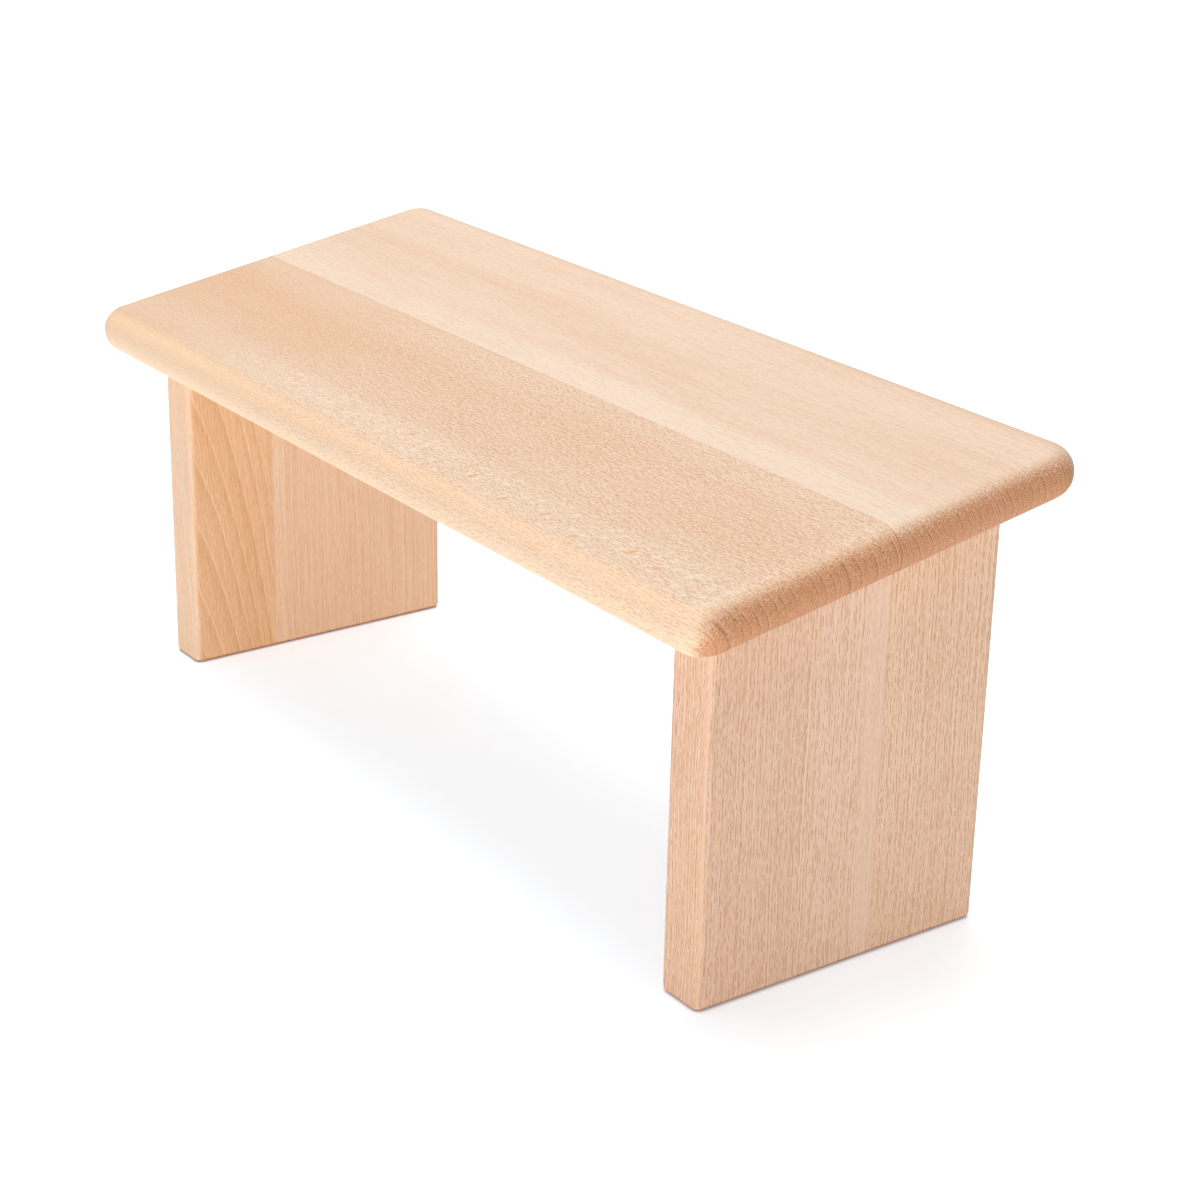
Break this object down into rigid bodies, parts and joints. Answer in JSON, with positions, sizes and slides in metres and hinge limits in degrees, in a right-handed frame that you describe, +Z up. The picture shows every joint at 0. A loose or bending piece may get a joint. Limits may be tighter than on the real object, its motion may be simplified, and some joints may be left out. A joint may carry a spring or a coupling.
{
  "type": "meditation bench",
  "caption": "Low folding kneeling bench: a rounded sloping beech seat on board legs that fold inwards on butt hinges, flat under the seat.",
  "frame": {"origin": "on the floor, under the middle of the seat's box", "axes": "+X along the seat's length, +Y from the low front edge to the high rear edge, +Z up"},
  "size_m": [0.45, 0.1778, 0.1941],
  "materials": {
    "seat_beech": "oiled beech, satin",
    "leg_beech": "oiled beech, satin",
    "hinge_brass": "satin brass",
    "screw_brass": "satin brass"
  },
  "bodies": {
    "seat": {"seat_front_board": "seat_beech", "seat_rear_board": "seat_beech", "left_front_hinge_seat_leaf": "hinge_brass", "left_rear_hinge_seat_leaf": "hinge_brass", "right_front_hinge_seat_leaf": "hinge_brass", "right_rear_hinge_seat_leaf": "hinge_brass", "left_front_hinge_pin": "hinge_brass", "left_rear_hinge_pin": "hinge_brass", "right_front_hinge_pin": "hinge_brass", "right_rear_hinge_pin": "hinge_brass", "left_front_hinge_seat_screws": "screw_brass", "left_rear_hinge_seat_screws": "screw_brass", "right_front_hinge_seat_screws": "screw_brass", "right_rear_hinge_seat_screws": "screw_brass"},
    "left_leg": {"left_leg_front_stave": "leg_beech", "left_leg_rear_stave": "leg_beech", "left_front_hinge_leg_leaf": "hinge_brass", "left_front_hinge_leg_screws": "screw_brass", "left_rear_hinge_leg_leaf": "hinge_brass", "left_rear_hinge_leg_screws": "screw_brass"},
    "right_leg": {"right_leg_front_stave": "leg_beech", "right_leg_rear_stave": "leg_beech", "right_front_hinge_leg_leaf": "hinge_brass", "right_front_hinge_leg_screws": "screw_brass", "right_rear_hinge_leg_leaf": "hinge_brass", "right_rear_hinge_leg_screws": "screw_brass"}
  },
  "joints": [
    {"name": "left_leg_fold", "type": "hinge", "parent": "seat", "child": "left_leg", "pos_m": [-0.17835, -0.02733, 0.15236], "axis": [0, -0.9854, -0.1702], "range_deg": [0, 90]},
    {"name": "right_leg_fold", "type": "hinge", "parent": "seat", "child": "right_leg", "pos_m": [0.17835, -0.02733, 0.15236], "axis": [0, 0.9854, 0.1702], "range_deg": [0, 90]}
  ]
}
